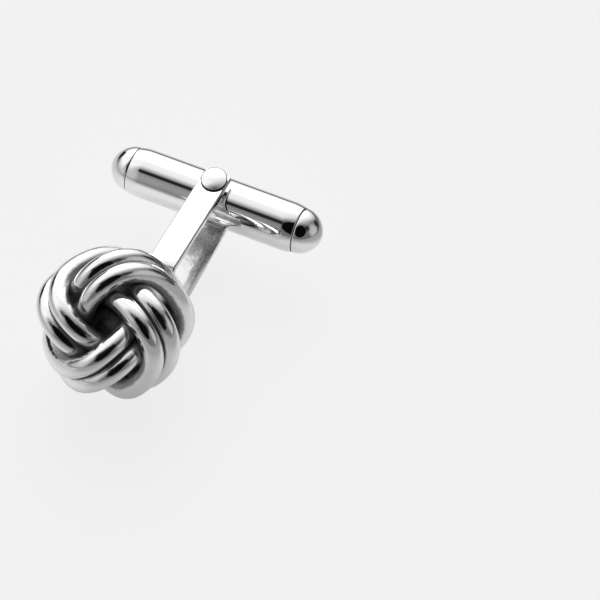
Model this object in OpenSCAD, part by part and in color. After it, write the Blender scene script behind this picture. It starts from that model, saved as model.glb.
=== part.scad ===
// Knot cufflink lying on a table: a knot of four doubled wire rings on a forked
// stem, and a bullet-ended toggle bar that swings on a rivet between the arms.
// All sizes are millimetres. The bar runs along X and the knot is towards -Y.
// The whole object is built about the rivet and then tipped onto its resting points.

/* [Toggle bar] */
// length of the bar over both tips
bar_length = 20; // [16:0.1:24]
// outside diameter of the tube
tube_diameter = 4.34; // [3:0.02:6]
// wall of the tube
tube_wall = 0.5; // [0.3:0.05:0.8]
// half length of the straight part of the tube
tube_straight = 6.8; // [5:0.1:8]
// half length of the tube to its rolled-in end
tube_half = 7.87; // [6:0.01:9]
// outside diameter of the rolled-in end
tube_end_diameter = 4.1; // [3:0.02:5]
// diameter of a cap where it meets the tube
cap_diameter = 4.06; // [3:0.02:5]
// gap between the tube and a cap
cap_gap = 0.04; // [0.02:0.01:0.1]
// length of the plug that holds a cap in the tube
plug_length = 1.4; // [0.5:0.1:3]
// turn of the bar from square to the stem, degrees
bar_turn = 2.4; // [-10:0.1:10]

/* [Forked stem] */
// distance over the arms at the rivet
fork_at_rivet = 6.37; // [5:0.05:8]
// distance over the arms at the shoulders
fork_at_shoulder = 7.31; // [5:0.05:9]
// distance from the rivet to the shoulders
shoulder_at = 9.5; // [8:0.05:12]
// distance from the rivet to the base
base_at = 11.12; // [9:0.05:13]
// height of the base
base_height = 3.7; // [1:0.05:6]
// width of the strip
strip_width = 2.5; // [1.5:0.05:4]
// thickness of the strip
strip_thick = 0.6; // [0.3:0.05:1]
// how far the arms run past the rivet
arm_end = 0.9; // [0.8:0.05:2]
// radius on the corners of the arms
corner_radius = 0.2; // [0.1:0.05:1]

/* [Rivet] */
// diameter of the pin
pin_diameter = 1.2; // [0.8:0.05:1.6]
// play round the pin in the tube
pin_play = 0.04; // [0.01:0.01:0.1]
// play round the pin in the arms
arm_play = 0.02; // [0.01:0.01:0.1]
// diameter of a head
head_diameter = 2.3; // [1.8:0.05:3]
// height of a head
head_height = 0.36; // [0.2:0.02:0.8]

/* [Knot] */
// radius of the wire
wire_radius = 0.8; // [0.6:0.01:1]
// distance from the centre of the knot to the far side of a ring
ring_reach = 5.41; // [4:0.01:7]
// offset of a ring's centre from the centre of the knot
ring_offset = 1.48; // [0.5:0.01:3]
// lean of a ring from the axis of the knot, degrees
ring_lean = 35.5; // [20:0.5:60]
// length of a ring against its width
ring_stretch = 1.17; // [1:0.01:1.4]
// half spacing of the two wires of a band
pair_half = 0.87; // [0.8:0.01:1]
// spread of a pair towards the middle of the knot
pair_spread = 0.05; // [0:0.01:0.3]
// side bends of a ring: twice round, twice round in step, three times round
ring_bends = [0.03, -0.01, 0.108];
// flattening of a ring: twice round, three times round
ring_flats = [-0.067, -0.034];
// sideways lean of a ring, once round
ring_skew = -0.013; // [-0.2:0.001:0.2]
// centre of the knot from the rivet
knot_centre = [-0.32, -16.75, 5.1];
// turns of the knot about X, Y and Z, degrees
knot_turns = [-21.36, 18.88, -124.05];
// stations along a wire
wire_stations = 44; // [32:1:60]
// sides of a wire
wire_sides = 12; // [10:1:16]

/* [Seat in the knot] */
// radius of the ball in the middle of the knot
core_radius = 1.95; // [1:0.05:2]
// radius of the post
post_radius = 0.85; // [0.5:0.05:1]
// length of the post from the middle of the knot
post_length = 5.8; // [4:0.1:7]
// where the post meets the base of the fork
post_foot = [-0.35, -0.7];

/* [Rest] */
// tip of the object on the table, degrees
rest_tip = 13.5; // [0:0.05:30]
// height of the rivet over the table
rest_height = 5.687; // [3:0.001:10]
// shift of the rivet along Y that centres the object over the origin
rest_shift = 10.935; // [5:0.01:15]

/* [Hidden] */
tube_radius = tube_diameter / 2;
bore_radius = tube_radius - tube_wall;
end_radius = tube_end_diameter / 2;
cap_radius = cap_diameter / 2;
plug_radius = end_radius - tube_wall - 0.04;
pin_radius = pin_diameter / 2;
ring_radius = ring_reach - ring_offset;
fine = 72;

// Placing

module rest() {
  translate([0, rest_shift, rest_height]) rotate([rest_tip, 0, 0]) children();
}

module swing() {
  rest() rotate([0, 0, bar_turn]) children();
}

module knot_frame() {
  rest() translate(knot_centre) rotate(knot_turns) children();
}

// Wire rings of the knot

function unit(v) = v / norm(v);

function ring_out(k) = [cos(90 * k), sin(90 * k), 0];
function ring_side(k) = [-sin(90 * k), cos(90 * k), 0];
function ring_up(k) = cos(ring_lean) * [0, 0, 1] + sin(ring_lean) * ring_side(k);
function ring_normal(k) = -sin(ring_lean) * [0, 0, 1] + cos(ring_lean) * ring_side(k);

function ring_size(t) = ring_radius
  * (1 + ring_flats[0] * (cos(2 * t) - 1) + ring_flats[1] * (cos(3 * t) - 1));

function ring_shift(side, t) = side * (pair_half + pair_spread * pow(sin(t / 2), 2))
  + ring_bends[0] * sin(2 * t) + ring_bends[1] * cos(2 * t)
  + ring_bends[2] * sin(3 * t) + ring_skew * cos(t);

function ring_point(k, side, t) = (ring_offset + ring_size(t) * cos(t)) * ring_out(k)
  + ring_stretch * ring_size(t) * sin(t) * ring_up(k)
  + ring_shift(side, t) * ring_normal(k);

function ring_along(k, side, t) =
  unit(ring_point(k, side, t + 0.5) - ring_point(k, side, t - 0.5));

function ring_across(k, side, t) =
  unit(cross(ring_along(k, side, t), cross(ring_normal(k), ring_along(k, side, t))));

function wire_point(k, side, t, a) = ring_point(k, side, t)
  + wire_radius * (cos(a) * ring_across(k, side, t)
  + sin(a) * cross(ring_along(k, side, t), ring_across(k, side, t)));

module wire(k, side) {
  points = [for (i = [0 : wire_stations - 1], j = [0 : wire_sides - 1])
    wire_point(k, side, 360 * i / wire_stations, 360 * j / wire_sides)];
  quads = [for (i = [0 : wire_stations - 1], j = [0 : wire_sides - 1])
    let (a = i * wire_sides, b = ((i + 1) % wire_stations) * wire_sides,
         m = (j + 1) % wire_sides)
    [a + j, a + m, b + m, b + j]];
  faces = [for (q = quads) each [[q[0], q[2], q[1]], [q[0], q[3], q[2]]]];
  polyhedron(points = points, faces = faces, convexity = 6);
}

module ring_1_inner() {
  color("silver") knot_frame() wire(0, -1);
}

module ring_1_outer() {
  color("silver") knot_frame() wire(0, 1);
}

module ring_2_inner() {
  color("silver") knot_frame() wire(1, -1);
}

module ring_2_outer() {
  color("silver") knot_frame() wire(1, 1);
}

module ring_3_inner() {
  color("silver") knot_frame() wire(2, -1);
}

module ring_3_outer() {
  color("silver") knot_frame() wire(2, 1);
}

module ring_4_inner() {
  color("silver") knot_frame() wire(3, -1);
}

module ring_4_outer() {
  color("silver") knot_frame() wire(3, 1);
}

// Seat: ball and post inside the knot, and the link to the base of the fork

module rod(from, to, radius) {
  d = to - from;
  translate(from)
    rotate([0, acos(d[2] / norm(d)), atan2(d[1], d[0])])
      cylinder(h = norm(d), r = radius, $fn = fine);
}

module knot_seat() {
  color("dimgray") {
    knot_frame() {
      sphere(r = core_radius, $fn = fine);
      translate([0, 0, -post_length]) cylinder(h = post_length, r = post_radius, $fn = fine);
      translate([0, 0, -post_length]) sphere(r = post_radius + 0.12, $fn = fine);
    }
    rest() rod([post_foot[0], -base_at - 0.3, post_foot[1]], post_end(), post_radius - 0.1);
  }
}

function turn_x(v, a) = [v[0], v[1] * cos(a) - v[2] * sin(a), v[1] * sin(a) + v[2] * cos(a)];
function turn_y(v, a) = [v[0] * cos(a) + v[2] * sin(a), v[1], -v[0] * sin(a) + v[2] * cos(a)];
function turn_z(v, a) = [v[0] * cos(a) - v[1] * sin(a), v[0] * sin(a) + v[1] * cos(a), v[2]];
function post_end() = knot_centre
  + turn_z(turn_y(turn_x([0, 0, -post_length], knot_turns[0]), knot_turns[1]), knot_turns[2]);

// Forked stem, a bent strip seen from its edge and drawn out to its width

function bend(p, q, r, cut) = let (a = unit(p - q), b = unit(r - q))
  [for (s = [0 : 3]) let (u = s / 3)
    q + cut * (pow(1 - u, 2) * a + pow(u, 2) * b)];

function strip_line(inset) = let (
    h = fork_at_rivet / 2 - inset,
    s = fork_at_shoulder / 2 - inset * 1.04,
    b = base_height / 2 - inset * 0.62,
    y = -base_at + inset,
    ys = -shoulder_at + inset * 0.42,
    e = [arm_end, h - 0.06], f = [ys, s], g = [y, b],
    g2 = [y, -b], f2 = [ys, -s], e2 = [arm_end, -h + 0.06])
  concat([e], bend(e, f, g, 0.45 - inset / 3), bend(f, g, g2, 0.35 - inset / 4),
    bend(g, g2, f2, 0.35 - inset / 4), bend(g2, f2, e2, 0.45 - inset / 3), [e2]);

module fork_side() {
  outside = strip_line(0);
  inside = strip_line(strip_thick);
  count = len(inside);
  polygon(concat(outside, [for (i = [count - 1 : -1 : 0]) inside[i]]));
}

module fork_plan() {
  w = strip_width / 2;
  c = corner_radius;
  translate([-w, -base_at - 1, -5]) cube([2 * w, base_at + 1 + arm_end - c, 10]);
  translate([-w + c, arm_end - c - 0.01, -5]) cube([2 * (w - c), c + 0.01, 10]);
  for (s = [-1, 1])
    translate([s * (w - c), arm_end - c, -5]) cylinder(h = 10, r = c, $fn = fine);
}

module stem_fork() {
  color("silver") rest()
    difference() {
      intersection() {
        rotate([90, 0, 90]) translate([0, 0, -strip_width])
          linear_extrude(height = 2 * strip_width) fork_side();
        fork_plan();
      }
      translate([0, 0, -5]) cylinder(h = 10, r = pin_radius + arm_play, $fn = fine);
    }
}

// Rivet with two domed heads

module rivet() {
  top = fork_at_rivet / 2 + 0.08;
  profile = [[0, 0], [pin_radius, 0], [pin_radius, top], [head_diameter / 2, top],
    [head_diameter / 2, top + 0.3 * head_height],
    [0.42 * head_diameter, top + 0.66 * head_height],
    [0.26 * head_diameter, top + 0.91 * head_height],
    [0, top + head_height]];
  color("silver") rest() union() {
    rotate_extrude($fn = fine) polygon(profile);
    mirror([0, 0, 1]) rotate_extrude($fn = fine) polygon(profile);
  }
}

// Toggle bar

module along_bar() {
  rotate([0, 90, 0]) children();
}

module toggle_tube() {
  skin = [[tube_radius, 0], [tube_radius, tube_straight],
    [tube_radius - 0.015, tube_straight + 0.4],
    [tube_radius - 0.05, tube_straight + 0.75], [end_radius, tube_half]];
  lining = [for (p = skin) [p[0] - tube_wall, p[1]]];
  half = concat(skin, [for (i = [len(skin) - 1 : -1 : 0]) lining[i]]);
  color("silver") swing()
    difference() {
      union() {
        along_bar() rotate_extrude($fn = fine) polygon(half);
        mirror([1, 0, 0]) along_bar() rotate_extrude($fn = fine) polygon(half);
      }
      translate([0, 0, -5]) cylinder(h = 10, r = pin_radius + pin_play, $fn = fine);
    }
}

module cap() {
  start = tube_half + cap_gap;
  nose = bar_length / 2 - start;
  profile = concat([[0, start - plug_length], [plug_radius, start - plug_length],
    [plug_radius, start]],
    [for (a = [0 : 15 : 75]) [cap_radius * cos(a), start + nose * sin(a)]],
    [[0, start + nose]]);
  along_bar() rotate_extrude($fn = fine) polygon(profile);
}

module cap_left() {
  color("silver") swing() mirror([1, 0, 0]) cap();
}

module cap_right() {
  color("silver") swing() cap();
}

ring_1_inner();
ring_1_outer();
ring_2_inner();
ring_2_outer();
ring_3_inner();
ring_3_outer();
ring_4_inner();
ring_4_outer();
knot_seat();
stem_fork();
rivet();
toggle_tube();
cap_left();
cap_right();
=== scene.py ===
"""Looks of a knot cufflink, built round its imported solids.

The knot is eight closed silver wires, woven as four doubled rings. A strip bent to a
fork joins it to a bullet-ended toggle bar, which swings on a rivet between the arms.
Sizes in the classes are millimetres and angles degrees, unless they say otherwise.
Meshes are made in metres.
"""

import logging
import math
from dataclasses import dataclass
from enum import Enum
from typing import Union

import bmesh
import bpy
import numpy as np
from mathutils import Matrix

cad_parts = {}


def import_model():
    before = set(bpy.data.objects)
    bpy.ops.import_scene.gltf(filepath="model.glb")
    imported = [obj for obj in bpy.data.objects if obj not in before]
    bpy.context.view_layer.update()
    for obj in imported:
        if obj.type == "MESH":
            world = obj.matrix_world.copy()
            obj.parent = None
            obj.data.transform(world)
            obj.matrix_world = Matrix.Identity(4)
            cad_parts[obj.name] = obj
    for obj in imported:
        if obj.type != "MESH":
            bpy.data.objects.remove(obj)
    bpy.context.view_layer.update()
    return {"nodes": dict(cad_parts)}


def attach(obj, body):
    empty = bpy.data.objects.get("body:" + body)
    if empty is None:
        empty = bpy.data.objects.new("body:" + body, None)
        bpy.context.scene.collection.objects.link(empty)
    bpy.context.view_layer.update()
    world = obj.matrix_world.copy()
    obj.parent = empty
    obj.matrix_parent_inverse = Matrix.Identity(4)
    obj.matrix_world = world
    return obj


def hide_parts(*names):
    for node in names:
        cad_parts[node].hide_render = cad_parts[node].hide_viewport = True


MM = 0.001
MERGE = 1e-7  # metres; points nearer than this become one
LOG = logging.getLogger("cufflink")

Socket = bpy.types.NodeSocket
Value = Union[Socket, float]
Span = tuple[float, float]
Triple = tuple[float, float, float]
Colour = Union[Socket, Triple]


# Placing ---------------------------------------------------------------------


class Axis(Enum):
    """Axis of a turn, as the two coordinates that the turn mixes, in order."""

    X = (1, 2)
    Y = (2, 0)
    Z = (0, 1)


def turn(axis: Axis, degrees: float) -> np.ndarray:
    """Rotation matrix for column vectors.

    Args:
        axis: the axis turned about, by the right-hand rule.
        degrees: the angle.

    Returns:
        A 3 by 3 matrix.
    """
    c, s = math.cos(math.radians(degrees)), math.sin(math.radians(degrees))
    i, j = axis.value
    m = np.eye(3)
    m[i, i] = m[j, j] = c
    m[i, j], m[j, i] = -s, s
    return m


@dataclass(frozen=True)
class RestPose:
    """Where the cufflink lies: tipped onto the knot and the fork's lower shoulder.

    The stem's own coordinates start at the middle of the rivet, with X along the bar,
    Y away from the knot and Z along the rivet.
    """

    tip: float = 13.5
    height: float = 5.687
    shift: float = 10.935
    bar_turn: float = 2.4
    knot_centre: Triple = (-0.32, -16.75, 5.1)
    knot_turns: Triple = (-21.36, 18.88, -124.05)

    def stem(self, points: np.ndarray) -> np.ndarray:
        """Carries points in the stem's coordinates to their place, in metres."""
        moved = points @ turn(Axis.X, self.tip).T
        return (moved + np.array([0.0, self.shift, self.height])) * MM

    def bar(self, points: np.ndarray) -> np.ndarray:
        """Carries points of the toggle bar, turned a little, to their place."""
        return self.stem(points @ turn(Axis.Z, self.bar_turn).T)

    def knot(self, points: np.ndarray) -> np.ndarray:
        """Carries points of the knot to their place.

        Args:
            points: points measured from the knot's centre, turned as the knot is woven.

        Returns:
            The points in metres.
        """
        a, b, c = self.knot_turns
        matrix = turn(Axis.Z, c) @ turn(Axis.Y, b) @ turn(Axis.X, a)
        return self.stem(points @ matrix.T + np.array(self.knot_centre))


REST = RestPose()


# Mesh making -----------------------------------------------------------------


def run_lengths(line: np.ndarray) -> np.ndarray:
    """Distance along a line at each of its points."""
    steps = np.linalg.norm(np.diff(line, axis=0), axis=1)
    return np.concatenate([[0], np.cumsum(steps)])


def grid_quads(rows: int, columns: int, wrap_rows: bool) -> np.ndarray:
    """Corner numbers of the quads of a grid of vertices laid out row by row.

    Args:
        rows: number of rows.
        columns: number of vertices in a row, whose last is joined to its first.
        wrap_rows: joins the last row to the first.

    Returns:
        An array of four numbers a quad.
    """
    i = np.arange(rows if wrap_rows else rows - 1)[:, None]
    j = np.arange(columns)[None, :]
    i2, j2 = (i + 1) % rows, (j + 1) % columns
    here, below = i * columns, i2 * columns
    return np.stack([here + j, here + j2, below + j2, below + j], -1).reshape(-1, 4)


def end_fans(rows: int, columns: int) -> list[np.ndarray]:
    """Triangles that close a grid's first and last row onto two poles.

    Args:
        rows: number of rows in the grid.
        columns: number of vertices in a row.

    Returns:
        Two arrays of three corner numbers a triangle. The poles are the two vertices
        that follow the grid's own.
    """
    j = np.arange(columns)
    k = (j + 1) % columns
    total, last = rows * columns, (rows - 1) * columns
    return [
        np.stack([np.full(columns, total), k, j], 1),
        np.stack([np.full(columns, total + 1), last + j, last + k], 1),
    ]


def make_piece(
    name: str,
    vertices: np.ndarray,
    faces: list[np.ndarray],
    shade: np.ndarray | None = None,
    sharp: float = 50.0,
) -> bpy.types.Object:
    """Makes a smooth-shaded closed piece whose faces point outwards.

    Args:
        name: the piece's name.
        vertices: its points, in metres.
        faces: arrays of corner numbers, one array for each number of corners.
        shade: how shut in each point is, from 0 for open to 1 for shut.
        sharp: angle in degrees past which an edge stays sharp.

    Returns:
        The new object, linked to the scene.
    """
    corners = [face for block in faces for face in block.tolist()]
    mesh = bpy.data.meshes.new(name)
    mesh.from_pydata(vertices.tolist(), [], corners)
    if shade is not None:
        values = mesh.attributes.new("shade", "FLOAT", "POINT").data
        values.foreach_set("value", shade.ravel())
    work = bmesh.new()
    work.from_mesh(mesh)
    bmesh.ops.remove_doubles(work, verts=work.verts, dist=MERGE)
    bmesh.ops.recalc_face_normals(work, faces=work.faces)
    work.to_mesh(mesh)
    work.free()
    mesh.shade_smooth()
    mesh.set_sharp_from_angle(angle=math.radians(sharp))
    piece = bpy.data.objects.new(name, mesh)
    bpy.context.scene.collection.objects.link(piece)
    return piece


def lathe(profile: np.ndarray, sides: int) -> tuple[np.ndarray, list[np.ndarray]]:
    """Turns a profile about Z: x = r cos a, y = r sin a, z = z.

    Args:
        profile: rows of radius and height; the first and last lie on the axis.
        sides: number of points round.

    Returns:
        Vertices and faces of a closed surface.
    """
    a = np.linspace(0.0, 2 * np.pi, sides, endpoint=False)
    body = profile[1:-1]
    height = np.repeat(body[:, 1:], sides, axis=1)
    ring = np.stack([body[:, :1] * np.cos(a), body[:, :1] * np.sin(a), height], -1)
    poles = np.array([[0, 0, profile[0, 1]], [0, 0, profile[-1, 1]]])
    rows = len(body)
    faces = [grid_quads(rows, sides, False), *end_fans(rows, sides)]
    return np.concatenate([ring.reshape(-1, 3), poles]), faces


def dress(piece: bpy.types.Object, material: bpy.types.Material) -> None:
    """Gives a piece one material on all its faces."""
    piece.data.materials.clear()
    piece.data.materials.append(material)


# Node trees ------------------------------------------------------------------


class NodeTree:
    """A few short words for building a shader node tree."""

    def __init__(self, tree: bpy.types.NodeTree) -> None:
        """Keeps the tree and empties it."""
        self.tree = tree
        tree.nodes.clear()

    def add(self, kind: str, **values: object) -> bpy.types.Node:
        """Adds a node.

        Args:
            kind: Blender's name of the node type.
            values: attributes of the node, or sockets where the key starts with in_,
                spaces in the socket's name written as underscores.

        Returns:
            The node.
        """
        node = self.tree.nodes.new(kind)
        for key, value in values.items():
            if key.startswith("in_"):
                node.inputs[key[3:].replace("_", " ")].default_value = value
            else:
                setattr(node, key, value)
        return node

    def feed(self, socket: Socket, value: object) -> None:
        """Links an input to an output, or sets it where the value is no socket.

        Args:
            socket: the input.
            value: an output socket, or what the input is set to.
        """
        if isinstance(value, Socket):
            self.tree.links.new(value, socket)
        else:
            socket.default_value = value

    def ramp(
        self, value: Socket, span: tuple[Value, Value], to: Span
    ) -> Socket:
        """Carries a value smoothly from one span to another.

        Args:
            value: the value.
            span: where the change starts and ends.
            to: what it starts and ends at.

        Returns:
            The changed value.
        """
        node = self.add("ShaderNodeMapRange", interpolation_type="SMOOTHSTEP")
        names = ("Value", "From Min", "From Max", "To Min", "To Max")
        for name, source in zip(names, (value, *span, *to)):
            self.feed(node.inputs[name], source)
        return node.outputs["Result"]

    def sum(self, kind: str, *values: Value) -> Socket:
        """Does a sum on values.

        Args:
            kind: Blender's name of the operation.
            values: what it is done on, each a socket or a number.

        Returns:
            The result.
        """
        node = self.add("ShaderNodeMath", operation=kind)
        for socket, value in zip(node.inputs, values):
            self.feed(socket, value)
        return node.outputs["Value"]

    def dot(self, place: Socket, way: Triple) -> Socket:
        """Dot product of a vector and a fixed direction.

        Args:
            place: the vector.
            way: the fixed direction.

        Returns:
            The product.
        """
        node = self.add("ShaderNodeVectorMath", operation="DOT_PRODUCT")
        self.feed(node.inputs[0], place)
        self.feed(node.inputs[1], way)
        return node.outputs["Value"]

    def noise(
        self, place: Socket, scale: Value, detail: float, roughness: float
    ) -> Socket:
        """Adds a noise.

        Args:
            place: where it is read.
            scale: how fine it is.
            detail: how many finer layers it has.
            roughness: how strong those layers are.

        Returns:
            The noise, from 0 to 1.
        """
        node = self.add("ShaderNodeTexNoise", in_Detail=detail, in_Roughness=roughness)
        self.feed(node.inputs["Vector"], place)
        self.feed(node.inputs["Scale"], scale)
        return node.outputs["Fac"]

    def blend(self, mask: Socket, a: Colour, b: Colour) -> Socket:
        """Mixes two colours.

        Args:
            mask: 0 for the first colour and 1 for the second.
            a: the first colour.
            b: the second colour.

        Returns:
            The mixed colour.
        """
        node = self.add("ShaderNodeMix", data_type="RGBA")
        inputs = [s for s in node.inputs if s.type == "RGBA"]
        for socket, colour in zip(inputs, (a, b)):
            self.feed(socket, colour if isinstance(colour, Socket) else (*colour, 1.0))
        self.feed(node.inputs[0], mask)
        return [s for s in node.outputs if s.type == "RGBA"][0]


def new_group(
    name: str, takes: tuple[str, ...], gives: tuple[str, ...]
) -> tuple[NodeTree, bpy.types.Node, bpy.types.Node]:
    """Starts a node group whose sockets are all single values.

    Args:
        name: the group's name.
        takes: names of its inputs.
        gives: names of its outputs.

    Returns:
        Its tree, its input node and its output node.
    """
    group = bpy.data.node_groups.new(name, "ShaderNodeTree")
    for names, way in ((takes, "INPUT"), (gives, "OUTPUT")):
        for socket in names:
            group.interface.new_socket(
                socket, in_out=way, socket_type="NodeSocketFloat"
            )
    t = NodeTree(group)
    return t, t.add("NodeGroupInput"), t.add("NodeGroupOutput")


# Finishes --------------------------------------------------------------------


@dataclass(frozen=True)
class HandlingMarks:
    """The marks that casting, polishing and handling leave on silver.

    The group's Height is Hairline times a stretched fine noise of scale Density, plus
    Sway times a broad soft noise of scale Wave, the unevenness left by the polishing
    wheel. Its Haze is a slow cloud, 0 to 1. Noises are given as detail and roughness.
    """

    turns: Triple = (0.4, 0.9, 0.3)  # radians
    stretch: Triple = (1.0, 0.12, 0.5)
    fine: Span = (3.0, 0.6)
    broad: Span = (1.0, 0.5)
    haze: Span = (4.0, 0.55)
    haze_scale: float = 260.0

    def build(self) -> bpy.types.NodeTree:
        """Builds the group.

        Returns:
            The node group.
        """
        takes = ("Density", "Hairline", "Wave", "Sway")
        t, given, out = new_group("handling_marks", takes, ("Height", "Haze"))
        density, hairline, wave, sway = (given.outputs[name] for name in takes)
        place = t.add("ShaderNodeTexCoord").outputs["Object"]
        drawn = t.add(
            "ShaderNodeMapping", in_Rotation=self.turns, in_Scale=self.stretch
        )
        t.feed(drawn.inputs["Vector"], place)
        fine = t.noise(drawn.outputs["Vector"], density, *self.fine)
        broad = t.noise(place, wave, *self.broad)
        lines = t.sum("MULTIPLY", fine, hairline)
        height = t.sum("ADD", lines, t.sum("MULTIPLY", broad, sway))
        t.feed(out.inputs["Height"], height)
        t.feed(out.inputs["Haze"], t.noise(place, self.haze_scale, *self.haze))
        return t.tree


@dataclass(frozen=True)
class CreviceTarnishAndShade:
    """Dark oxide and painted shade where the surface is shut in.

    The group's Mask is smooth(Open, Shut, Shade + Ragged (noise - 0.5)), where Shade is
    how shut in the surface is. Its Grain is the same noise, for the crust's roughness.
    """

    scale: float = 1900.0
    grain: Span = (4.0, 0.65)  # the noise's detail and roughness

    def build(self) -> bpy.types.NodeTree:
        """Builds the group.

        Returns:
            The node group.
        """
        takes = ("Shade", "Open", "Shut", "Ragged")
        t, given, out = new_group("crevice_tarnish_and_shade", takes, ("Mask", "Grain"))
        shade, opened, shut, ragged = (given.outputs[name] for name in takes)
        place = t.add("ShaderNodeTexCoord").outputs["Object"]
        noise = t.noise(place, self.scale, *self.grain)
        swing = t.sum("MULTIPLY", t.sum("SUBTRACT", noise, 0.5), ragged)
        mask = t.ramp(t.sum("ADD", swing, shade), (opened, shut), (0.0, 1.0))
        t.feed(out.inputs["Mask"], mask)
        t.feed(out.inputs["Grain"], noise)
        return t.tree


@dataclass(frozen=True)
class SilverFinish:
    """Polished or darkened silver with handling marks, and oxide with painted shade in
    its crevices.

    The roughness runs between its two values where the haze passes haze_span; the
    crevice mask adds dull to it. The relief, in metres, is the height of a bump of 1.
    """

    name: str
    colour: Triple = (0.965, 0.965, 0.968)
    # colour of the crevice mask, partly oxide and partly painted shade
    tarnish_and_shade: Triple = (0.07, 0.069, 0.068)
    roughness: Span = (0.02, 0.05)
    haze_span: Span = (0.3, 0.7)
    density: float = 5200.0
    hairline: float = 0.018
    wave: float = 420.0
    sway: float = 0.05
    relief: float = 0.00005
    crevices: bool = False
    open: float = 0.3
    shut: float = 0.55
    ragged: float = 0.25
    dull: float = 0.42
    crust: float = 0.3

    def build(
        self, marks: bpy.types.NodeTree, crevice: bpy.types.NodeTree
    ) -> bpy.types.Material:
        """Builds the material.

        Args:
            marks: the handling marks group.
            crevice: the crevice tarnish group.

        Returns:
            The material.
        """
        material = bpy.data.materials.new(self.name)
        material.use_nodes = True
        t = NodeTree(material.node_tree)
        out = t.add("ShaderNodeOutputMaterial")
        shader = t.add("ShaderNodeBsdfPrincipled", in_Metallic=1.0)
        shader.inputs["Base Color"].default_value = (*self.colour, 1.0)
        wear = t.add("ShaderNodeGroup", node_tree=marks)
        for key in ("density", "hairline", "wave", "sway"):
            wear.inputs[key.capitalize()].default_value = getattr(self, key)
        rough = t.ramp(wear.outputs["Haze"], self.haze_span, self.roughness)
        height = wear.outputs["Height"]
        if self.crevices:
            shade = t.add("ShaderNodeAttribute", attribute_name="shade")
            deep = t.add("ShaderNodeGroup", node_tree=crevice)
            for key in ("open", "shut", "ragged"):
                deep.inputs[key.capitalize()].default_value = getattr(self, key)
            t.feed(deep.inputs["Shade"], shade.outputs["Fac"])
            mask = deep.outputs["Mask"]
            colour = t.blend(mask, self.colour, self.tarnish_and_shade)
            t.feed(shader.inputs["Base Color"], colour)
            rough = t.sum("ADD", t.sum("MULTIPLY", mask, self.dull), rough)
            grain = t.sum("MULTIPLY", deep.outputs["Grain"], mask)
            height = t.sum("ADD", t.sum("MULTIPLY", grain, self.crust), height)
        bump = t.add("ShaderNodeBump", in_Strength=1.0, in_Distance=self.relief)
        t.feed(bump.inputs["Height"], height)
        t.feed(shader.inputs["Normal"], bump.outputs["Normal"])
        t.feed(shader.inputs["Roughness"], rough)
        t.feed(out.inputs["Surface"], shader.outputs["BSDF"])
        return material


class Finish(Enum):
    """The finishes of the cufflink's pieces."""

    # painted shade on the strip's inner faces and a painted dark reflection along one
    # edge, with a duller finish there
    STRIP = SilverFinish(
        "strip_silver",
        roughness=(0.04, 0.1),
        wave=620.0,
        sway=0.35,
        crevices=True,
        tarnish_and_shade=(0.4, 0.4, 0.4),
        open=0.2,
        shut=0.8,
        ragged=0.9,
        dull=0.22,
    )
    # dark joint at the bar's seams, and painted shade round the rivet's brims
    SEAMED = SilverFinish("seamed_silver", crevices=True, ragged=0.1)
    # painted shade in the knot's crevices and by the stem's base, partly real oxide,
    # with a rough grainy crust
    WOVEN = SilverFinish(
        "woven_silver",
        roughness=(0.03, 0.15),
        wave=1500.0,
        sway=0.3,
        crevices=True,
        tarnish_and_shade=(0.38, 0.377, 0.374),
        open=0.42,
        shut=0.85,
        ragged=0.45,
        dull=0.38,
    )
    DARKENED = SilverFinish(
        "darkened_silver", colour=(0.7, 0.7, 0.7), roughness=(0.45, 0.6)
    )


# Forked stem -----------------------------------------------------------------


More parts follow.
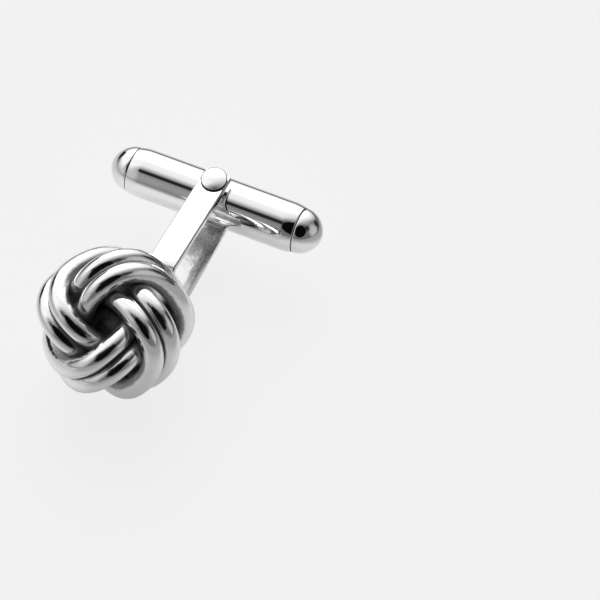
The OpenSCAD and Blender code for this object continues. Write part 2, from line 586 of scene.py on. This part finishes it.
@dataclass(frozen=True)
class ForkedStem:
    """The flat strip bent into two arms and a base, with softened edges.

    The outer sizes come first. The shares say how far the strip's middle lies in from
    the outer corners, in half thicknesses: along Y and Z at the shoulder, and along Z
    at the base.
    """

    at_rivet: float = 6.37
    at_shoulder: float = 7.31
    shoulder: float = 9.5
    base: float = 11.12
    base_height: float = 3.7
    width: float = 2.5
    thick: float = 0.6
    arm_end: float = 0.9
    arm_lean: float = 0.06
    shoulder_shares: Span = (0.42, 1.04)
    base_share: float = 0.62
    shoulder_cut: float = 0.35
    base_cut: float = 0.275
    corner: float = 0.2
    edge: float = 0.17
    edge_share: float = 0.98
    bend_rows: int = 12
    corner_rows: int = 16
    edge_rows: int = 7
    arm_rows: int = 24
    arc_points: int = 6
    # painted shade on the inner face, near the rivet and by the base
    rivet_shade: Span = (2.9, 3.7)  # how far from the rivet, and how far it reaches
    base_shade: float = 1.8  # how far it reaches
    inner_shade: Span = (0.12, 0.75)  # everywhere, and the most that is added
    inner_share: float = 0.9
    # painted dark reflection along one outer edge's rounding
    painted_line_shade: float = 1.2
    painted_line_span: Span = (0.55, 0.3)  # middle and half width, as sines on the arc

    def bend(
        self, p: np.ndarray, q: np.ndarray, r: np.ndarray, cut: float
    ) -> np.ndarray:
        """Rounds a corner by q + cut ((1 - u)^2 a + u^2 b), a and b its two sides.

        Args:
            p: the point before the corner.
            q: the corner.
            r: the point after it.
            cut: how far from the corner the curve starts and ends.

        Returns:
            Points of the curve, u from 0 to 1.
        """
        a, b = (p - q) / np.linalg.norm(p - q), (r - q) / np.linalg.norm(r - q)
        u = np.linspace(0.0, 1.0, self.bend_rows)[:, None]
        return q + cut * ((1 - u) ** 2 * a + u**2 * b)

    def middle_line(self) -> np.ndarray:
        """Middle of the strip seen from its edge.

        Returns:
            Rows of y and z, from the end of the upper arm to that of the lower one.
        """
        inset = self.thick / 2
        along, across = self.shoulder_shares
        low = np.array([1.0, -1.0])
        end = np.array([self.arm_end, self.at_rivet / 2 - inset - self.arm_lean])
        shoulder = np.array(
            [-self.shoulder + inset * along, self.at_shoulder / 2 - inset * across]
        )
        foot = np.array(
            [-self.base + inset, self.base_height / 2 - inset * self.base_share]
        )
        corners = [
            self.bend(end, shoulder, foot, self.shoulder_cut),
            self.bend(shoulder, foot, foot * low, self.base_cut),
            self.bend(foot, foot * low, shoulder * low, self.base_cut),
            self.bend(foot * low, shoulder * low, end * low, self.shoulder_cut),
        ]
        return np.concatenate([end[None], *corners, (end * low)[None]])

    def stations(self, run: np.ndarray) -> np.ndarray:
        """Distances along the strip at which it gets a row of points.

        Args:
            run: distances of the middle line's own points.

        Returns:
            Those distances, with more along the arms and close to both ends.
        """
        near = 1 - np.cos(np.linspace(0, np.pi / 2, self.corner_rows))
        rim = 1 - np.cos(np.linspace(0, np.pi / 2, self.edge_rows))
        arm = np.linspace(self.corner, run[1], self.arm_rows)
        ends = np.concatenate([self.corner * near, self.edge * rim, arm])
        return np.unique(np.round(np.concatenate([run, ends, run[-1] - ends]), 6))

    def rounded(self, size: float, radius: float, away: np.ndarray) -> np.ndarray:
        """Half a size, rounded near the end: size / 2 - r + sqrt(r^2 - (r - away)^2).

        Args:
            size: the whole size.
            radius: the radius r of the rounding.
            away: distances from the end.

        Returns:
            The half size at each distance.
        """
        short = np.clip(radius - away, 0, radius)
        return size / 2 - radius + np.sqrt(np.clip(radius**2 - short**2, 0, None))

    def outline(self) -> tuple[np.ndarray, np.ndarray]:
        """Rounded rectangle of the strip's section, clockwise.

        Returns:
            The signs of the corner that each point belongs to, across and through the
            strip, and where the point lies on a unit circle round that corner.
        """
        a = np.linspace(0.0, np.pi / 2, self.arc_points)
        quarter = np.stack([np.sin(a), np.cos(a)], 1)
        signs = [(1, 1), (1, -1), (-1, -1), (-1, 1)]
        arcs = [quarter[:: u * v] * np.array([u, v]) for u, v in signs]
        return np.repeat(np.array(signs, float), len(a), axis=0), np.concatenate(arcs)

    def tarnish_and_shade(self, y: np.ndarray, through: np.ndarray) -> np.ndarray:
        """Painted shade of the inner face, deepest by the bar and by the base; its mask
        also dulls the finish.

        Args:
            y: place of each row along the stem.
            through: place of each point through the strip.

        Returns:
            One value a point, 0 on the outer face.
        """
        middle, reach = self.rivet_shade
        near_bar = np.clip(1 - np.abs(y + middle) / reach, 0, 1)
        near_base = np.clip(1 - np.abs(y + self.base) / self.base_shade, 0, 1)
        least, more = self.inner_shade
        # painted shade: the inner face darkens most near the bar and the base
        dull = least + more * np.maximum(near_bar, near_base)[:, None]
        return (through < -0.5 * self.thick + self.inner_share * self.edge) * dull

    def build(self, material: bpy.types.Material) -> None:
        """Carries a rounded rectangle along the strip, narrowed at both ends.

        One outer edge has a painted dark reflection, a thin line along its rounding.

        Args:
            material: the strip's finish.
        """
        line = self.middle_line()
        run = run_lengths(line)
        at = self.stations(run)
        y, z = np.interp(at, run, line[:, 0]), np.interp(at, run, line[:, 1])
        along = np.gradient(np.stack([y, z], 1), at, axis=0)
        along /= np.linalg.norm(along, axis=1)[:, None]
        out = np.stack([np.zeros(len(at)), along[:, 1], -along[:, 0]], 1)
        away = np.minimum(at, at[-1] - at)
        e, deep = self.edge, self.edge * self.edge_share
        half = self.rounded(self.width, self.corner, away)
        depth = self.rounded(self.thick, e, away)
        sign, arc = self.outline()
        across = sign[None, :, 0] * (half - e)[:, None] + e * arc[None, :, 0]
        through = sign[None, :, 1] * (depth - deep)[:, None] + deep * arc[None, :, 1]
        middle = np.stack([np.zeros(len(at)), y, z], 1)
        points = middle[:, None] + through[..., None] * out[:, None]
        points[..., 0] += across
        rows, columns = points.shape[:2]
        vertices = np.concatenate([points.reshape(-1, 3), middle[[0, -1]]])
        faces = [grid_quads(rows, columns, False), *end_fans(rows, columns)]
        # painted reflection: a dark line along the rounding of one outer edge
        spot, spread = self.painted_line_span
        painted_line = (sign > 0).all(1) & (np.abs(arc[:, 0] - spot) < spread)
        shade = np.maximum(self.tarnish_and_shade(y, through), self.painted_line_shade * painted_line[None])
        shade = np.concatenate([shade.ravel(), [0.0, 0.0]])
        piece = make_piece("fork_strip", REST.stem(vertices), faces, shade)
        dress(piece, material)
        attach(piece, "stem")
        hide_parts("stem_fork")
        LOG.info("piece %s", piece.name)


@dataclass(frozen=True)
class Rivet:
    """The pin with a domed head at each end."""

    pin: float = 0.6
    head: float = 1.15
    brim: float = 0.11
    dome: float = 0.25
    seat: float = 3.265
    shade_rise: float = 0.06
    rows: int = 40
    sides: int = 96

    def build(self, material: bpy.types.Material) -> None:
        """Turns the half profile and its mirror image about the pin's axis.

        The dome rises from a low brim: height = seat + brim + dome (1 - (r / R)^2).
        Painted shade sits round the brim, where the head meets the arm, and thins out
        over a short rise.

        Args:
            material: the rivet's finish.
        """
        r = self.head * np.sin(np.linspace(0.0, np.pi / 2, self.rows))
        z = self.seat + self.brim + self.dome * (1 - (r / self.head) ** 2)
        cap = np.stack([r, z], 1)
        under = np.array(
            [[self.head, self.seat], [self.pin, self.seat], [self.pin, 0.0]]
        )
        half = np.concatenate([cap, under])
        low = half[::-1][1:] * np.array([1.0, -1.0])
        vertices, faces = lathe(np.concatenate([half, low]), self.sides)
        # painted shade round the brim, where the head meets the arm
        rise = np.abs(vertices[:, 2]) - self.seat - self.brim
        shade = np.clip(1 - rise / self.shade_rise, 0, 1)
        piece = make_piece("rivet_pin", REST.stem(vertices), faces, shade)
        dress(piece, material)
        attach(piece, "stem")
        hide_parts("rivet")
        LOG.info("piece %s", piece.name)


# Knot ------------------------------------------------------------------------


@dataclass(frozen=True)
class KnotWires:
    """Eight closed wires: four leaning rings, each of two wires side by side."""

    rings: int = 4
    wire_radius: float = 0.87
    reach: float = 5.41
    offset: float = 1.48
    lean: float = 35.5
    stretch: float = 1.17
    pair_half: float = 0.87
    pair_spread: float = 0.05
    bends: Triple = (0.03, -0.01, 0.108)
    flats: Span = (-0.067, -0.034)
    skew: float = -0.013
    stem_reach: float = 6.5
    stem_shade: float = 1.4
    stem_facing: float = 1.5
    stations: int = 264
    sides: int = 32
    blockers: int = 90

    def centre_line(self, k: int, side: int, t: np.ndarray) -> np.ndarray:
        """Centre line of one wire.

        The ring lies on a leaning plane. At angle t its size is
        R (1 + f1 (cos 2t - 1) + f2 (cos 3t - 1)), R being the reach less the offset.
        The point is the offset plus size cos t outwards, stretch size sin t up the
        leaning plane, and a shift along the plane's normal. The shift sets the pair
        apart by half + spread sin^2(t / 2) to each side, and bends the ring by
        b1 sin 2t + b2 cos 2t + b3 sin 3t + skew cos t.

        Args:
            k: which ring, each a quarter turn from the last.
            side: -1 for the inner wire and 1 for the outer.
            t: angles round the ring, in radians.

        Returns:
            One point a row.
        """
        phi, lean = k * math.pi / 2, math.radians(self.lean)
        out = np.array([math.cos(phi), math.sin(phi), 0.0])
        across = np.array([-math.sin(phi), math.cos(phi), 0.0])
        axis = np.array([0.0, 0.0, 1.0])
        up = math.cos(lean) * axis + math.sin(lean) * across
        f1, f2 = self.flats
        b1, b2, b3 = self.bends
        size = (self.reach - self.offset) * (
            1 + f1 * (np.cos(2 * t) - 1) + f2 * (np.cos(3 * t) - 1)
        )
        shift = (
            side * (self.pair_half + self.pair_spread * np.sin(t / 2) ** 2)
            + b1 * np.sin(2 * t)
            + b2 * np.cos(2 * t)
            + b3 * np.sin(3 * t)
            + self.skew * np.cos(t)
        )
        return (
            (self.offset + size * np.cos(t))[:, None] * out
            + (self.stretch * size * np.sin(t))[:, None] * up
            + shift[:, None] * self.plane_normal(k)
        )

    def plane_normal(self, k: int) -> np.ndarray:
        """Normal of a ring's leaning plane.

        Args:
            k: which ring.

        Returns:
            A unit vector.
        """
        phi, lean = k * math.pi / 2, math.radians(self.lean)
        across = np.array([-math.sin(phi), math.cos(phi), 0.0])
        return math.cos(lean) * across - math.sin(lean) * np.array([0.0, 0.0, 1.0])

    def shut_in(
        self, points: np.ndarray, normals: np.ndarray, k: int, side: int
    ) -> np.ndarray:
        """How much of the view out of each point the other wires fill.

        The sum, over short lengths of the other wires' centre lines, of
        2 r length cos(angle to the normal) / (pi distance^2).

        Args:
            points: points on one wire.
            normals: the surface's normals there.
            k: the wire's ring.
            side: which wire of the pair it is.

        Returns:
            One value a point, 0 where nothing is in the way.
        """
        t = np.linspace(0.0, 2 * np.pi, self.blockers, endpoint=False)
        wires = [(m, s) for m in range(self.rings) for s in (-1, 1)]
        lines = [self.centre_line(*wire, t) for wire in wires if wire != (k, side)]
        spots = np.concatenate(lines)
        lengths = np.concatenate(
            [np.linalg.norm(np.roll(line, -1, 0) - line, axis=1) for line in lines]
        )
        own, other = (points**2).sum(1)[:, None], (spots**2).sum(1)[None]
        square = np.clip(own + other - 2 * points @ spots.T, self.wire_radius**2, None)
        toward_spot = normals @ spots.T - (normals * points).sum(1)[:, None]
        facing = np.clip(toward_spot, 0, None)
        return (2 * self.wire_radius / np.pi) * (facing / square**1.5) @ lengths

    def by_stem(self, points: np.ndarray, normals: np.ndarray) -> np.ndarray:
        """Painted shade on the wires near the stem's base, where they face the bar.

        stem_shade times (1 - distance / stem_reach) times (stem_facing ny), both
        brackets held between 0 and 1, where ny is how much the surface faces the bar.

        Args:
            points: points on one wire.
            normals: the surface's normals there.

        Returns:
            One value a point, 0 far from the base or facing away from it.
        """
        place = REST.knot(points)
        facing = (REST.knot(points + normals) - place)[:, 1] / MM
        base = REST.stem(np.array([0.0, -ForkedStem.base, 0.0]))
        away = np.linalg.norm(place - base, axis=1) / MM
        near = np.clip(1 - away / self.stem_reach, 0, 1)
        return self.stem_shade * near * np.clip(self.stem_facing * facing, 0, 1)

    def wire(self, k: int, side: int) -> bpy.types.Object:
        """Carries a circle of the wire's radius along a centre line.

        Args:
            k: which ring.
            side: which wire of the pair.

        Returns:
            The closed wire.
        """
        t = np.linspace(0.0, 2 * np.pi, self.stations, endpoint=False)
        line = self.centre_line(k, side, t)
        along = np.roll(line, -1, 0) - np.roll(line, 1, 0)
        along /= np.linalg.norm(along, axis=1)[:, None]
        normal = self.plane_normal(k)
        first = normal - (along @ normal)[:, None] * along
        first /= np.linalg.norm(first, axis=1)[:, None]
        second = np.cross(along, first)
        a = np.linspace(0.0, 2 * np.pi, self.sides, endpoint=False)[None, :, None]
        out = np.cos(a) * first[:, None] + np.sin(a) * second[:, None]
        points = (line[:, None] + self.wire_radius * out).reshape(-1, 3)
        normals = out.reshape(-1, 3)
        # the shade darkens the woven finish: painted shade in the crevices, partly real
        # oxide, and painted shade near the stem's base
        shade = self.shut_in(points, normals, k, side) + self.by_stem(points, normals)
        return make_piece(
            f"wire_{k + 1}_{'outer' if side > 0 else 'inner'}",
            REST.knot(points),
            [grid_quads(self.stations, self.sides, True)],
            shade,
            sharp=180.0,
        )

    def build(self, material: bpy.types.Material) -> None:
        """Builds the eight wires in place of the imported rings.

        Args:
            material: the wires' finish.
        """
        for k in range(self.rings):
            for side in (-1, 1):
                piece = self.wire(k, side)
                dress(piece, material)
                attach(piece, "stem")
                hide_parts(f"ring_{k + 1}_{'outer' if side > 0 else 'inner'}")
                LOG.info("piece %s", piece.name)


# Toggle bar ------------------------------------------------------------------


@dataclass(frozen=True)
class ToggleBar:
    """The tube and its two bullet-shaped caps."""

    radius: float = 2.17
    wall: float = 0.5
    straight: float = 6.8
    half: float = 7.87
    end_radius: float = 2.02
    draw: Span = (0.33, 0.67)
    rim: float = 0.1
    pin_hole: float = 0.64
    drill_reach: float = 4.0
    cap_radius: float = 1.99
    cap_gap: float = 0.03
    plug: float = 1.4
    plug_play: float = 0.04
    tip: float = 9.92
    power: float = 1.1
    seam_reach: float = 0.0625
    straight_rows: int = 48
    roll_rows: int = 14
    rim_rows: int = 7
    lining_step: int = 4
    dome_rows: int = 48
    tube_sides: int = 128
    cap_sides: int = 112
    drill_sides: int = 48

    def skin(self, s: np.ndarray) -> np.ndarray:
        """Radius of the tube at s along the bar.

        The tube is straight, and then drawn in toward its end radius by
        0.33 run + 0.67 run^2, the run going from 0 to 1.

        Args:
            s: places along the bar.

        Returns:
            The radius at each place.
        """
        run = np.clip((np.abs(s) - self.straight) / (self.half - self.straight), 0, 1)
        drawn = self.draw[0] * run + self.draw[1] * run**2
        return self.radius - (self.radius - self.end_radius) * drawn

    def seam_shade(self, s: np.ndarray) -> np.ndarray:
        """Shade at s along the bar: 1 at the seam, falling to 0 within its reach."""
        return 1 - np.abs(np.abs(s) - self.half - self.cap_gap / 2) / self.seam_reach

    def tube(self) -> bpy.types.Object:
        """Carries circles along the bar, out along the skin and back along the lining.

        Returns:
            The tube, closed by its rounded rims and bored for the rivet.
        """
        rim = self.rim
        q = np.linspace(0.0, np.pi / 2, self.rim_rows)
        ends = self.half - rim + rim * np.sin(q)
        body = np.linspace(0.0, self.straight, self.straight_rows)
        roll = np.linspace(self.straight, self.half - rim, self.roll_rows)[1:-1]
        half_s = np.concatenate([body, roll, ends])
        drop = np.concatenate([np.zeros(len(body) + len(roll)), rim * (1 - np.cos(q))])
        outer = np.concatenate([-half_s[:0:-1], half_s])
        outer_r = self.skin(outer) - np.concatenate([drop[:0:-1], drop])
        inner = outer[::-1][:: self.lining_step]
        s = np.concatenate([outer, inner])
        r = np.concatenate([outer_r, self.skin(inner) - self.wall])[:, None]
        sides = self.tube_sides
        a = np.linspace(0.0, 2 * np.pi, sides, endpoint=False)
        run = np.repeat(s[:, None], sides, 1)
        points = np.stack([run, r * np.cos(a), r * np.sin(a)], -1).reshape(-1, 3)
        shade = np.repeat(self.seam_shade(s), sides)
        faces = [grid_quads(len(s), sides, True)]
        piece = make_piece("bar_tube", REST.bar(points), faces, shade)
        self.bore(piece)
        return piece

    def bore(self, piece: bpy.types.Object) -> None:
        """Cuts the hole that the rivet passes through.

        Args:
            piece: the tube, whose mesh is replaced.
        """
        hole, reach = self.pin_hole, self.drill_reach
        profile = np.array([[0, -reach], [hole, -reach], [hole, reach], [0, reach]])
        vertices, faces = lathe(profile, self.drill_sides)
        drill = make_piece("drill", REST.bar(vertices), faces)
        cut = piece.modifiers.new("bore", "BOOLEAN")
        cut.operation, cut.object, cut.solver = "DIFFERENCE", drill, "EXACT"
        bpy.context.view_layer.update()
        shown = piece.evaluated_get(bpy.context.evaluated_depsgraph_get())
        mesh = bpy.data.meshes.new_from_object(shown)
        piece.modifiers.clear()
        piece.data = mesh
        bpy.data.objects.remove(drill)

    def cap(self, name: str, hand: int) -> bpy.types.Object:
        """Turns the bullet profile: radius = R (cos a)^p, run = start + nose (sin a)^p.

        Args:
            name: the piece's name.
            hand: 1 for the right end of the bar and -1 for the left.

        Returns:
            The cap with its plug.
        """
        start = self.half + self.cap_gap
        e = self.rim
        a = np.linspace(0.0, np.pi / 2, self.dome_rows)
        nose = self.tip - start - e
        cos = np.clip(np.cos(a), 0, 1) ** self.power
        sin = np.sin(a) ** self.power
        dome = np.stack([self.cap_radius * cos, start + e + nose * sin], 1)
        c = np.linspace(0.0, np.pi / 2, self.rim_rows)[:-1]
        edge = np.stack(
            [self.cap_radius - e + e * np.sin(c), start + e - e * np.cos(c)], 1
        )
        plug, inner = self.end_radius - self.wall - self.plug_play, start - self.plug
        root = np.array([[0, inner], [plug, inner], [plug, start]])
        vertices, faces = lathe(np.concatenate([root, edge, dome]), self.cap_sides)
        shade = self.seam_shade(vertices[:, 2])
        swung = vertices[:, [2, 1, 0]] * np.array([hand, 1, 1])
        return make_piece(name, REST.bar(swung), faces, shade)

    def build(self, material: bpy.types.Material) -> None:
        """Builds the bar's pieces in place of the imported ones.

        Args:
            material: the bar's finish.
        """
        made = [
            (self.tube(), "toggle_tube"),
            (self.cap("bar_cap_left", -1), "cap_left"),
            (self.cap("bar_cap_right", 1), "cap_right"),
        ]
        for piece, node in made:
            dress(piece, material)
            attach(piece, "toggle")
            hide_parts(node)
            LOG.info("piece %s", piece.name)


# Studio ----------------------------------------------------------------------


def toward(azimuth: float, height: float) -> Triple:
    """Unit vector from the front (-Y) turned towards +X, and raised, in degrees."""
    a, h = math.radians(azimuth), math.radians(height)
    return math.sin(a) * math.cos(h), -math.cos(a) * math.cos(h), math.sin(h)


def grey(level: float) -> Triple:
    """A grey of one level as a colour."""
    return (level, level, level)


@dataclass(frozen=True)
class SoftPatch:
    """A soft-edged round patch of the studio's surround."""

    azimuth: float
    height: float
    inner: float
    outer: float
    level: float

    def mask(self, t: NodeTree, place: Socket) -> Socket:
        """Mask of the patch.

        Args:
            t: the world's tree.
            place: the direction looked in.

        Returns:
            The mask, 1 inside the inner angle and 0 outside the outer one.
        """
        facing = t.dot(place, toward(self.azimuth, self.height))
        span = math.cos(math.radians(self.outer)), math.cos(math.radians(self.inner))
        return t.ramp(facing, span, (0.0, 1.0))


@dataclass(frozen=True)
class SoftBox:
    """A great oblong soft box overhead; each pair of angles is a soft edge."""

    turned: float = 29.0
    rise_across: Span = (-83.8, -56.5)
    fall_across: Span = (-43.9, 75.1)
    rise_along: Span = (-78.0, -63.2)
    fall_along: Span = (-3.9, 21.9)
    level: float = 0.98

    def mask(self, t: NodeTree, place: Socket) -> Socket:
        """Product of four soft edges, two across by angle and two along by sine.

        Args:
            t: the world's tree.
            place: the direction looked in.

        Returns:
            The mask, 1 inside.
        """
        c, s = math.cos(math.radians(self.turned)), math.sin(math.radians(self.turned))
        up = t.dot(place, (0.0, 0.0, 1.0))
        angle = t.sum("ARCTAN2", t.dot(place, (c, s, 0.0)), up)
        along = t.dot(place, (s, -c, 0.0))
        rise, fall = (0.0, 1.0), (1.0, 0.0)
        mask = t.ramp(angle, tuple(np.radians(self.rise_across).tolist()), rise)
        for value, span, to in (
            (angle, np.radians(self.fall_across), fall),
            (along, np.sin(np.radians(self.rise_along)), rise),
            (along, np.sin(np.radians(self.fall_along)), fall),
        ):
            mask = t.sum("MULTIPLY", mask, t.ramp(value, tuple(span.tolist()), to))
        return mask


@dataclass(frozen=True)
class Studio:
    """Pale floor, soft surround and the camera at the photograph's angle.

    The floor's edges are distances in metres over which silver starts to see it painted
    dark.
    """

    floor_side: float = 3.0  # metres
    floor_tone: float = 0.92
    floor_rough: float = 0.9
    floor_glow: float = 0.92
    floor_fill: float = 0.3
    shadow_share: float = 0.12
    # shares of painted shade on the floor, seen only in reflections
    backdrop_edge: Span = (0.033, 0.056)
    backdrop_tone: float = 0.1
    far_edge: Span = (0.01, 0.034)
    far_share: float = 0.36
    right_way: float = 45.0
    right_edge: Span = (0.003, 0.022)
    back_way: float = 110.0
    back_edge: Span = (0.016, 0.024)
    right_share: float = 0.3
    horizon_edge: Span = (0.065, 0.11)
    horizon_share: float = 0.43
    seen: float = 0.885
    wall: float = 0.149
    walls: tuple[SoftPatch, ...] = (
        SoftPatch(-53.9, 13.3, 19.8, 45.7, 0.518),
        SoftPatch(103.0, 14.7, 0.0, 31.3, 0.486),
        SoftPatch(80.0, 43.0, 5.0, 17.0, 0.03),
        SoftPatch(28.0, 40.0, 29.0, 32.5, 0.003),
    )
    lamps: tuple[SoftPatch, ...] = (
        SoftPatch(-158.0, 38.0, 23.5, 55.8, 0.98),
        SoftPatch(-150.0, 40.0, 8.0, 32.0, 3.0),
    )
    flags: tuple[SoftPatch, ...] = (
        SoftPatch(-24.0, 49.0, 3.0, 9.5, 0.015),
        SoftPatch(141.0, 11.0, 4.0, 14.0, 0.015),
        SoftPatch(-115.0, 5.0, 11.0, 16.0, 0.015),
    )
    camera_place: Triple = (84.533, -165.673, 209.552)
    camera_turns: Triple = (42.094, -3.375, 26.993)
    lens: float = 196.91
    sensor: float = 36.0
    clip: Span = (0.01, 50.0)  # metres

    def dim(self, t: NodeTree, place: Socket) -> Socket:
        """Painted shade on the floor, seen only in the silver's reflections.

        dim = max(past, far + max(right, horizon)): full past the backdrop's edge, a
        painted dark ground; a painted falloff of light far from the cufflink and toward
        the horizon;
        and a painted shadow of the cufflink on its right.

        Args:
            t: the floor's tree.
            place: the place on the floor.

        Returns:
            A value from 0 to 1.
        """
        length = t.add("ShaderNodeVectorMath", operation="LENGTH")
        t.feed(length.inputs[0], place)
        spread = length.outputs["Value"]
        ahead = t.dot(place, toward(self.right_way, 0.0))
        behind = t.dot(place, toward(self.back_way, 0.0))
        past = t.ramp(t.dot(place, (0.0, 1.0, 0.0)), self.backdrop_edge, (0.0, 1.0))
        far = t.ramp(spread, self.far_edge, (0.0, self.far_share))
        right = t.sum(
            "MAXIMUM",
            t.ramp(ahead, self.right_edge, (0.0, self.right_share)),
            t.ramp(behind, self.back_edge, (0.0, self.right_share)),
        )
        horizon = t.ramp(spread, self.horizon_edge, (0.0, self.horizon_share))
        beyond = t.sum("ADD", far, t.sum("MAXIMUM", right, horizon))
        return t.sum("MAXIMUM", past, beyond)

    def cloth(self) -> bpy.types.Material:
        """Builds the floor's material.

        A matt sheet is mixed with a glow: strongly for the camera, which leaves a faint
        shadow, and a little for all else, which fills the shadow.

        Returns:
            The material.
        """
        material = bpy.data.materials.new("pale_floor")
        material.use_nodes = True
        t = NodeTree(material.node_tree)
        out = t.add("ShaderNodeOutputMaterial")
        path = t.add("ShaderNodeLightPath")
        place = t.add("ShaderNodeTexCoord").outputs["Object"]
        # painted shade and shadow on the floor, for reflected rays only
        dark = t.sum("MULTIPLY", self.dim(t, place), path.outputs["Is Glossy Ray"])
        cloth = t.add("ShaderNodeBsdfPrincipled", in_Roughness=self.floor_rough)
        cloth.inputs["Specular IOR Level"].default_value = 0.0
        tone = t.blend(dark, grey(self.floor_tone), grey(self.backdrop_tone))
        t.feed(cloth.inputs["Base Color"], tone)
        glow = t.add("ShaderNodeEmission", in_Strength=self.floor_glow)
        glow.inputs["Color"].default_value = (1.0, 1.0, 1.0, 1.0)
        fill = t.sum("MULTIPLY_ADD", dark, -self.floor_fill, self.floor_fill)
        shown = 1.0 - self.shadow_share - self.floor_fill
        lit = t.sum("MULTIPLY_ADD", path.outputs["Is Camera Ray"], shown, fill)
        mix = t.add("ShaderNodeMixShader")
        t.feed(mix.inputs[0], lit)
        t.feed(mix.inputs[1], cloth.outputs["BSDF"])
        t.feed(mix.inputs[2], glow.outputs["Emission"])
        t.feed(out.inputs["Surface"], mix.outputs["Shader"])
        return material

    def floor(self) -> None:
        """Lays the floor: a flat pale sheet with a faint shadow, painted dark behind
        for silver.

        The camera sees the sheet go on; the silver mirrors the painted dark ground past
        its edge, which draws the thin dark lines along the upper outlines.
        """
        h = self.floor_side / 2
        corners = [(-h, -h, 0.0), (h, -h, 0.0), (h, h, 0.0), (-h, h, 0.0)]
        mesh = bpy.data.meshes.new("floor")
        mesh.from_pydata(corners, [], [(0, 1, 2, 3)])
        sheet = bpy.data.objects.new("floor", mesh)
        bpy.context.scene.collection.objects.link(sheet)
        dress(sheet, self.cloth())

    def surround(self) -> None:
        """Sets the surround: grey walls, a soft box overhead, lamps and dark flags."""
        world = bpy.data.worlds.new("studio")
        bpy.context.scene.world = world
        world.use_nodes = True
        t = NodeTree(world.node_tree)
        out = t.add("ShaderNodeOutputWorld")
        back = t.add("ShaderNodeBackground")
        place = t.add("ShaderNodeTexCoord").outputs["Generated"]
        colour: Colour = grey(self.wall)
        for patch in (*self.walls, SoftBox(), *self.lamps, *self.flags):
            colour = t.blend(patch.mask(t, place), colour, grey(patch.level))
        path = t.add("ShaderNodeLightPath")
        shown = t.blend(path.outputs["Is Camera Ray"], colour, grey(self.seen))
        t.feed(back.inputs["Color"], shown)
        t.feed(out.inputs["Surface"], back.outputs["Background"])

    def camera(self) -> None:
        """Stands the camera where the photograph was taken from."""
        data = bpy.data.cameras.new("camera")
        data.lens, data.sensor_width = self.lens, self.sensor
        data.clip_start, data.clip_end = self.clip
        eye = bpy.data.objects.new("camera", data)
        eye.location = [v * MM for v in self.camera_place]
        eye.rotation_euler = [math.radians(v) for v in self.camera_turns]
        bpy.context.scene.collection.objects.link(eye)
        bpy.context.scene.camera = eye

    def build(self) -> None:
        """Builds the floor, the surround and the camera."""
        self.floor()
        self.surround()
        self.camera()
        view = bpy.context.scene.view_settings
        view.view_transform, view.look = "Standard", "None"
        LOG.info("studio ready")


# Putting together ------------------------------------------------------------


def main() -> None:
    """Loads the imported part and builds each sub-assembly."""
    logging.basicConfig(level=logging.INFO, format="%(message)s")
    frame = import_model()
    marks, crevice = HandlingMarks().build(), CreviceTarnishAndShade().build()
    made = {finish: finish.value.build(marks, crevice) for finish in Finish}
    KnotWires().build(made[Finish.WOVEN])
    dress(frame["nodes"]["knot_seat"], made[Finish.DARKENED])
    ForkedStem().build(made[Finish.STRIP])
    Rivet().build(made[Finish.SEAMED])
    ToggleBar().build(made[Finish.SEAMED])
    Studio().build()
    bpy.context.view_layer.update()


if __name__ == "__main__":
    main()
